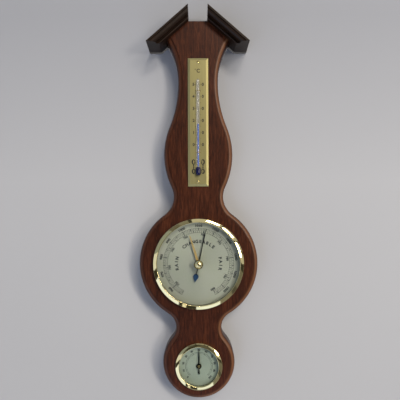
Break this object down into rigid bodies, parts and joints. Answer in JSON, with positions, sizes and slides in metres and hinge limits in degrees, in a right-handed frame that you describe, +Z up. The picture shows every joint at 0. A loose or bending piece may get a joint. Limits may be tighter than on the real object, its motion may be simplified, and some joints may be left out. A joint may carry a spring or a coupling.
{
  "type": "wall barometer",
  "caption": "Banjo-shaped wooden wall barometer with a moulded edge, broken pediment, thermometer, glazed aneroid dial with set hand, and a small hygrometer.",
  "frame": {"origin": "middle of the round part of the hanger's keyhole, in the plane of the board's back", "axes": "+Z up, +Y into the wall, the dials face -Y"},
  "size_m": [0.143, 0.0388, 0.4671],
  "materials": {
    "mahogany": "satin polish",
    "dark_mahogany": "satin polish",
    "polished_brass": "polished",
    "satin_brass": "satin, lacquered",
    "brass": "bright",
    "silvered": "brushed, silvered",
    "glass": "clear",
    "tube_glass": "clear",
    "blue_spirit": "liquid, dyed blue",
    "blued_steel": "blued",
    "blackened_steel": "black satin",
    "steel": "satin",
    "dark_steel": "dark satin",
    "nickel": "satin nickel",
    "coil_paper": "paper-backed copper strip"
  },
  "bodies": {
    "board": {"backboard": "mahogany", "cornice_left": "dark_mahogany", "cornice_right": "dark_mahogany", "cornice_pins": "steel", "hanger_plate": "brass", "hanger_screws": "brass", "thermometer_plate": "satin_brass", "thermometer_tube": "tube_glass", "spirit_column": "blue_spirit", "thermometer_clips": "brass", "thermometer_pins": "brass", "barometer_case": "dark_steel", "case_screws": "steel", "barometer_dial": "silvered", "spacer_ring": "dark_steel", "barometer_glass": "glass", "barometer_bezel": "polished_brass", "base_plate": "brass", "base_screws": "steel", "aneroid_capsule": "nickel", "mainspring": "blued_steel", "mainspring_screws": "steel", "rocker_bracket": "brass", "bracket_screw": "steel", "bridge_pillars": "brass", "lower_bridge": "brass", "cock_posts": "brass", "upper_bridge": "brass", "bridge_screws": "steel", "cock_screws": "steel", "hairspring": "blued_steel", "chain": "steel", "knob_washer": "brass", "hygrometer_case": "dark_steel", "hygrometer_screws": "steel", "hygrometer_dial": "silvered", "hygrometer_ring": "dark_steel", "hygrometer_glass": "glass", "hygrometer_bezel": "polished_brass", "hygrometer_bush": "brass", "coil_stud": "brass", "hygrometer_posts": "brass", "hygrometer_bridge": "brass", "hygrometer_bridge_screws": "steel", "humidity_coil": "coil_paper"},
    "pointer": {"pointer": "blued_steel", "arbor": "steel"},
    "set_hand": {"set_knob": "polished_brass", "set_hand": "brass"},
    "main_lever": {"main_lever": "brass", "capsule_pin": "steel"},
    "link": {"link": "brass"},
    "rocker": {"rocker_shaft": "steel"},
    "adjusting_screw": {"adjusting_screw": "steel"},
    "hygrometer_needle": {"hygrometer_arbor": "brass", "hygrometer_needle": "blackened_steel"}
  },
  "joints": [
    {"name": "pointer_turn", "type": "hinge", "parent": "board", "child": "pointer", "pos_m": [0, -0.0225, -0.2705], "axis": [0, 1, 0], "range_deg": [-162, 138], "deforming": ["hairspring", "chain"]},
    {"name": "set_hand_turn", "type": "hinge", "parent": "board", "child": "set_hand", "pos_m": [0, -0.028, -0.2705], "axis": [0, 1, 0], "continuous": true},
    {"name": "main_lever_tilt", "type": "hinge", "parent": "board", "child": "main_lever", "pos_m": [-0.024, -0.00915, -0.2705], "axis": [0, 0, 1], "range_deg": [-1.1, 0.95], "deforming": ["mainspring", "aneroid_capsule"]},
    {"name": "link_tilt", "type": "hinge", "parent": "main_lever", "child": "link", "pos_m": [0.027, -0.0132, -0.2665], "axis": [0, 0, 1], "range_deg": [-0.35, 0.4]},
    {"name": "rocker_turn", "type": "hinge", "parent": "board", "child": "rocker", "pos_m": [0.03, -0.007, -0.2705], "axis": [0, 0, 1], "range_deg": [-16, 18.2]},
    {"name": "adjusting_screw_turn", "type": "hinge", "parent": "board", "child": "adjusting_screw", "pos_m": [-0.021, -0.0024, -0.2705], "axis": [0, 1, 0], "range_deg": [-360, 360]},
    {"name": "hygrometer_turn", "type": "hinge", "parent": "board", "child": "hygrometer_needle", "pos_m": [0, -0.015, -0.3931], "axis": [0, 1, 0], "range_deg": [-135, 135], "deforming": ["humidity_coil"]}
  ],
  "couplings": [
    {"joint": "rocker_turn", "follows": "pointer_turn", "ratio": -0.1099},
    {"joint": "main_lever_tilt", "follows": "pointer_turn", "ratio": 0.006465},
    {"joint": "link_tilt", "follows": "pointer_turn", "ratio": -0.002242}
  ]
}
